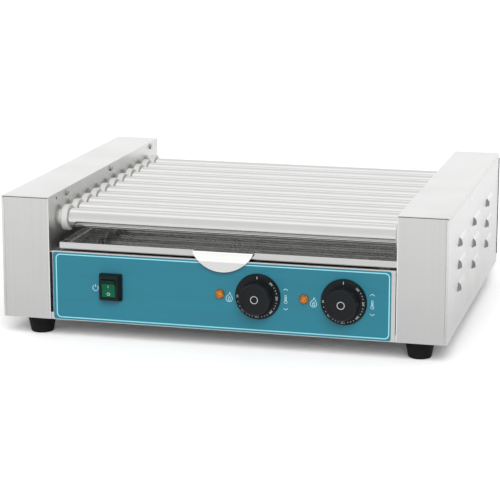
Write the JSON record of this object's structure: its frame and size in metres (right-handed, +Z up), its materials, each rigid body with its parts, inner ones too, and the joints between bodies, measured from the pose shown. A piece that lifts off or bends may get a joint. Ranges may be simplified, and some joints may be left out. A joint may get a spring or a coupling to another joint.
{
  "type": "hot dog roller grill",
  "caption": "Countertop roller grill with heated steel rollers between two end housings, a drip tray below and a front control panel.",
  "frame": {"origin": "on the counter, under the middle of the whole grill's box", "axes": "+X along the rollers to the operator's right, -Y towards the operator, +Z up"},
  "size_m": [0.588, 0.514, 0.186],
  "materials": {
    "sheet_steel": "satin brushed stainless sheet",
    "tray_steel": "bright stainless sheet",
    "roller_steel": "polished stainless tube",
    "screw_steel": "machined stainless",
    "chain_steel": "oiled steel",
    "heater_sheath": "heat-tinted steel sheath",
    "motor_paint": "satin grey paint",
    "teal_print": "satin printed polyester overlay",
    "white_ptfe": "machined PTFE",
    "white_ceramic": "unglazed steatite",
    "ivory_plastic": "moulded phenolic",
    "black_plastic": "moulded satin black",
    "green_lens": "translucent green",
    "amber_lens": "translucent amber",
    "black_rubber": "matt moulded rubber"
  },
  "bodies": {
    "chassis": {"base_pan": "sheet_steel", "front_panel": "sheet_steel", "control_decal": "teal_print", "rear_panel": "sheet_steel", "deck_plate": "sheet_steel", "tray_rails": "sheet_steel", "left_side_frame": "sheet_steel", "right_side_frame": "sheet_steel", "left_end_cover": "sheet_steel", "right_end_cover": "sheet_steel", "left_bushes": "white_ptfe", "right_bushes": "white_ptfe", "heater_rods": "heater_sheath", "heater_insulators": "white_ceramic", "left_heater_bracket": "sheet_steel", "right_heater_bracket": "sheet_steel", "drive_chain": "chain_steel", "gear_motor": "motor_paint", "motor_bracket": "sheet_steel", "motor_screws": "screw_steel", "idler_axle": "screw_steel", "thermostats": "ivory_plastic", "lamp_bodies": "ivory_plastic", "lamp_lenses": "amber_lens", "switch_body": "black_plastic", "terminal_block": "ivory_plastic", "cable_gland": "black_plastic", "feet": "black_rubber", "foot_screws": "screw_steel", "cover_screws": "screw_steel", "rear_screws": "screw_steel"},
    "roller_unit_01": {"roller_01": "roller_steel", "sprocket_01": "chain_steel"},
    "roller_unit_02": {"roller_02": "roller_steel", "sprocket_02": "chain_steel"},
    "roller_unit_03": {"roller_03": "roller_steel", "sprocket_03": "chain_steel"},
    "roller_unit_04": {"roller_04": "roller_steel", "sprocket_04": "chain_steel"},
    "roller_unit_05": {"roller_05": "roller_steel", "sprocket_05": "chain_steel"},
    "roller_unit_06": {"roller_06": "roller_steel", "sprocket_06": "chain_steel"},
    "roller_unit_07": {"roller_07": "roller_steel", "sprocket_07": "chain_steel"},
    "roller_unit_08": {"roller_08": "roller_steel", "sprocket_08": "chain_steel"},
    "roller_unit_09": {"roller_09": "roller_steel", "sprocket_09": "chain_steel"},
    "roller_unit_10": {"roller_10": "roller_steel", "sprocket_10": "chain_steel"},
    "roller_unit_11": {"roller_11": "roller_steel", "sprocket_11": "chain_steel"},
    "motor_sprocket_unit": {"motor_sprocket": "chain_steel"},
    "idler_sprocket_unit": {"idler_sprocket": "chain_steel"},
    "left_knob_unit": {"left_knob": "black_plastic"},
    "right_knob_unit": {"right_knob": "black_plastic"},
    "rocker": {"power_rocker": "green_lens"},
    "tray": {"drip_tray": "tray_steel"}
  },
  "joints": [
    {"name": "roller_01_spin", "type": "hinge", "parent": "chassis", "child": "roller_unit_01", "pos_m": [0, -0.188, 0.1515], "axis": [1, 0, 0], "continuous": true},
    {"name": "roller_02_spin", "type": "hinge", "parent": "chassis", "child": "roller_unit_02", "pos_m": [0, -0.1504, 0.1515], "axis": [1, 0, 0], "continuous": true},
    {"name": "roller_03_spin", "type": "hinge", "parent": "chassis", "child": "roller_unit_03", "pos_m": [0, -0.1128, 0.1515], "axis": [1, 0, 0], "continuous": true},
    {"name": "roller_04_spin", "type": "hinge", "parent": "chassis", "child": "roller_unit_04", "pos_m": [0, -0.0752, 0.1515], "axis": [1, 0, 0], "continuous": true},
    {"name": "roller_05_spin", "type": "hinge", "parent": "chassis", "child": "roller_unit_05", "pos_m": [0, -0.0376, 0.1515], "axis": [1, 0, 0], "continuous": true},
    {"name": "roller_06_spin", "type": "hinge", "parent": "chassis", "child": "roller_unit_06", "pos_m": [0, 0, 0.1515], "axis": [1, 0, 0], "continuous": true},
    {"name": "roller_07_spin", "type": "hinge", "parent": "chassis", "child": "roller_unit_07", "pos_m": [0, 0.0376, 0.1515], "axis": [1, 0, 0], "continuous": true},
    {"name": "roller_08_spin", "type": "hinge", "parent": "chassis", "child": "roller_unit_08", "pos_m": [0, 0.0752, 0.1515], "axis": [1, 0, 0], "continuous": true},
    {"name": "roller_09_spin", "type": "hinge", "parent": "chassis", "child": "roller_unit_09", "pos_m": [0, 0.1128, 0.1515], "axis": [1, 0, 0], "continuous": true},
    {"name": "roller_10_spin", "type": "hinge", "parent": "chassis", "child": "roller_unit_10", "pos_m": [0, 0.1504, 0.1515], "axis": [1, 0, 0], "continuous": true},
    {"name": "roller_11_spin", "type": "hinge", "parent": "chassis", "child": "roller_unit_11", "pos_m": [0, 0.188, 0.1515], "axis": [1, 0, 0], "continuous": true},
    {"name": "motor_sprocket_spin", "type": "hinge", "parent": "chassis", "child": "motor_sprocket_unit", "pos_m": [0.243, -0.06, 0.071], "axis": [1, 0, 0], "continuous": true},
    {"name": "idler_sprocket_spin", "type": "hinge", "parent": "chassis", "child": "idler_sprocket_unit", "pos_m": [0.243, 0.09, 0.076], "axis": [1, 0, 0], "continuous": true},
    {"name": "left_knob_turn", "type": "hinge", "parent": "chassis", "child": "left_knob_unit", "pos_m": [0.0507, -0.245, 0.0738], "axis": [0, 1, 0], "range_deg": [0, 315]},
    {"name": "right_knob_turn", "type": "hinge", "parent": "chassis", "child": "right_knob_unit", "pos_m": [0.1607, -0.245, 0.0738], "axis": [0, 1, 0], "range_deg": [0, 315]},
    {"name": "rocker_tip", "type": "hinge", "parent": "chassis", "child": "rocker", "pos_m": [-0.143, -0.2419, 0.0738], "axis": [-1, 0, 0], "range_deg": [0, 16]},
    {"name": "tray_slide", "type": "slide", "parent": "chassis", "child": "tray", "axis": [0, -1, 0], "range_m": [0, 0.4]}
  ],
  "couplings": [
    {"joint": "roller_02_spin", "follows": "roller_01_spin", "ratio": 1},
    {"joint": "roller_03_spin", "follows": "roller_01_spin", "ratio": 1},
    {"joint": "roller_04_spin", "follows": "roller_01_spin", "ratio": 1},
    {"joint": "roller_05_spin", "follows": "roller_01_spin", "ratio": 1},
    {"joint": "roller_06_spin", "follows": "roller_01_spin", "ratio": 1},
    {"joint": "roller_07_spin", "follows": "roller_01_spin", "ratio": 1},
    {"joint": "roller_08_spin", "follows": "roller_01_spin", "ratio": 1},
    {"joint": "roller_09_spin", "follows": "roller_01_spin", "ratio": 1},
    {"joint": "roller_10_spin", "follows": "roller_01_spin", "ratio": 1},
    {"joint": "roller_11_spin", "follows": "roller_01_spin", "ratio": 1},
    {"joint": "motor_sprocket_spin", "follows": "roller_01_spin", "ratio": 1},
    {"joint": "idler_sprocket_spin", "follows": "roller_01_spin", "ratio": 1}
  ]
}
